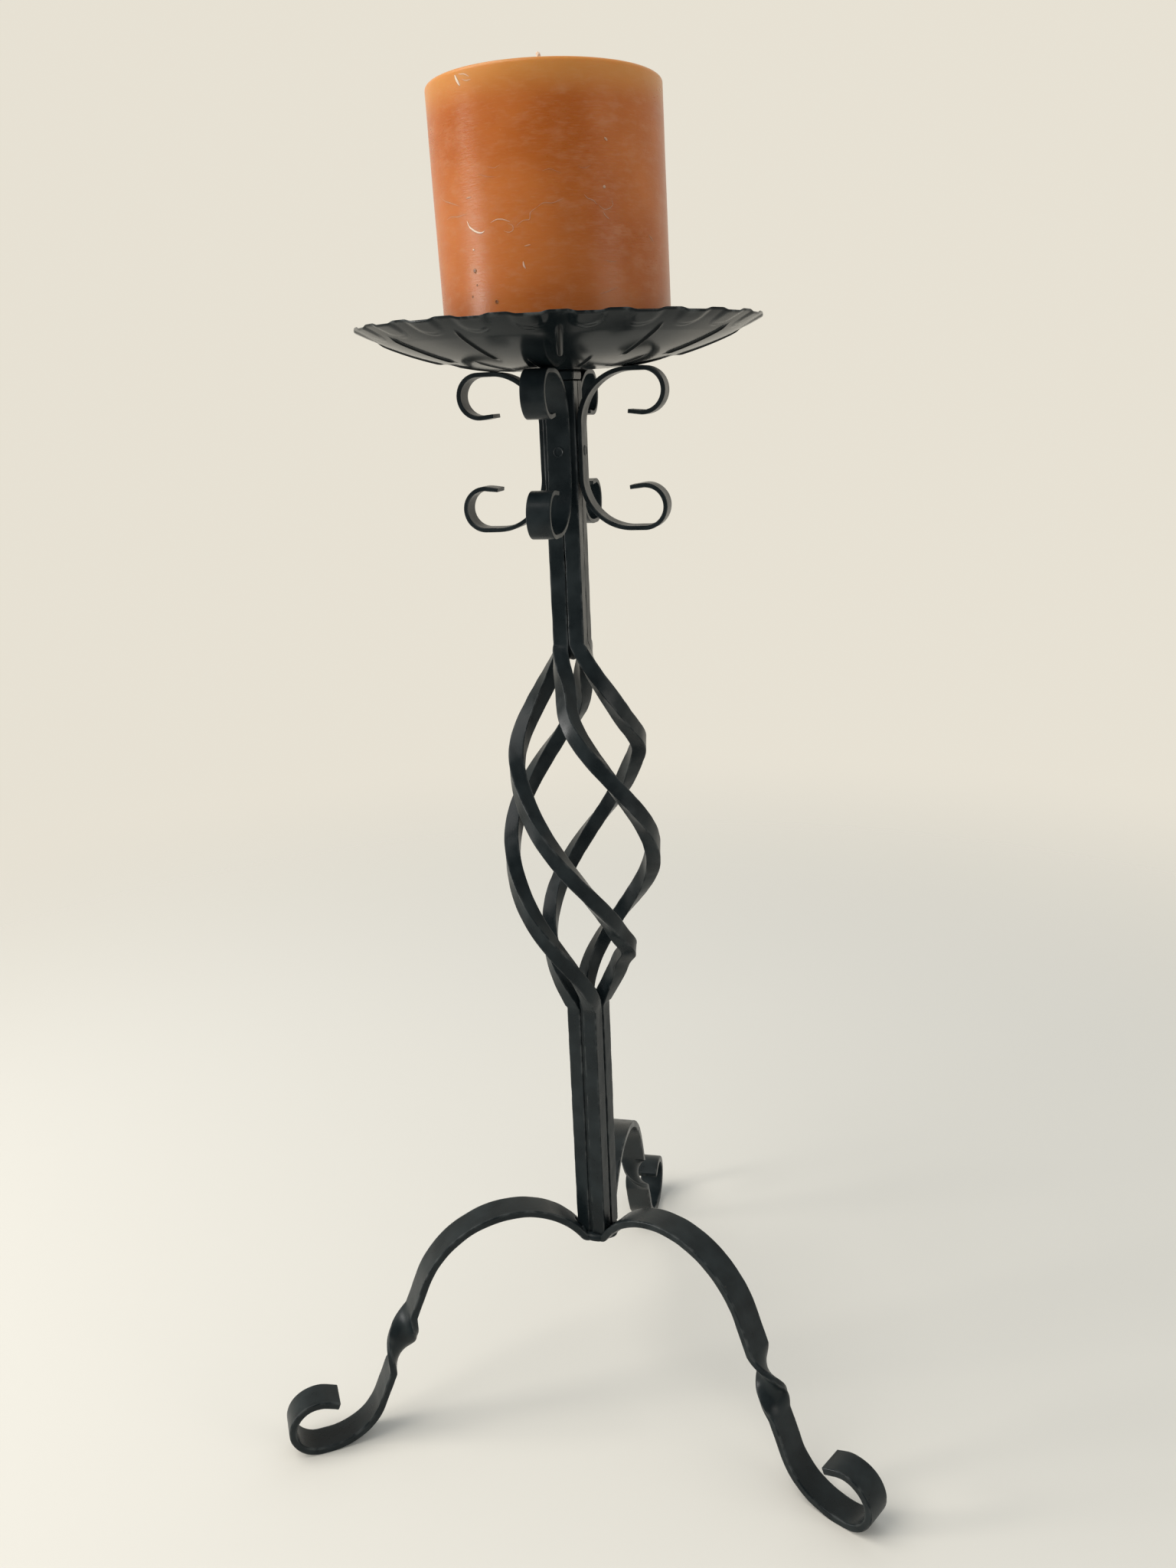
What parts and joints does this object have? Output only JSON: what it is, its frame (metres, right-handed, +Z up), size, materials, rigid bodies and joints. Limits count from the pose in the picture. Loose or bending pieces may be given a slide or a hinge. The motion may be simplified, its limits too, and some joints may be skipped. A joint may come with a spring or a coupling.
{
  "type": "torchere candle stand",
  "caption": "Black wrought-iron table torchere: scrolled tripod, square-bar post opening into a twisted basket, scroll brackets, fluted drip pan and a pillar candle.",
  "frame": {"origin": "on the floor, in the middle of the footprint of the three feet", "axes": "+Z up, +Y towards the back leg, +X to the right as the picture shows it; the post stands 40.7 mm in front of the origin"},
  "size_m": [0.311, 0.2695, 0.6684],
  "materials": {
    "forged_iron": "satin blue-black waxed wrought iron with forge marks and bright rubbed edges",
    "pan_iron": "smoother satin blue-black iron sheet with pressed creases",
    "wax": "terracotta orange wax, waxy sheen, fine scratches",
    "cotton_wick": "waxed plaited cotton, unburnt"
  },
  "bodies": {
    "stand": {"leg_back": "forged_iron", "leg_front_left": "forged_iron", "leg_front_right": "forged_iron", "stem_bar_1": "forged_iron", "stem_bar_2": "forged_iron", "stem_bar_3": "forged_iron", "stem_bar_4": "forged_iron", "scroll_bracket_right": "forged_iron", "scroll_bracket_back": "forged_iron", "scroll_bracket_left": "forged_iron", "scroll_bracket_front": "forged_iron", "plug_weld_right": "forged_iron", "plug_weld_back": "forged_iron", "plug_weld_left": "forged_iron", "plug_weld_front": "forged_iron", "post_cap": "forged_iron", "pricket_spike": "forged_iron", "drip_pan": "pan_iron"},
    "candle": {"candle_wax": "wax", "candle_wick": "cotton_wick"}
  },
  "joints": [
    {"name": "candle_lift", "type": "slide", "parent": "stand", "child": "candle", "axis": [0, 0, 1], "range_m": [0, 0.06]}
  ]
}
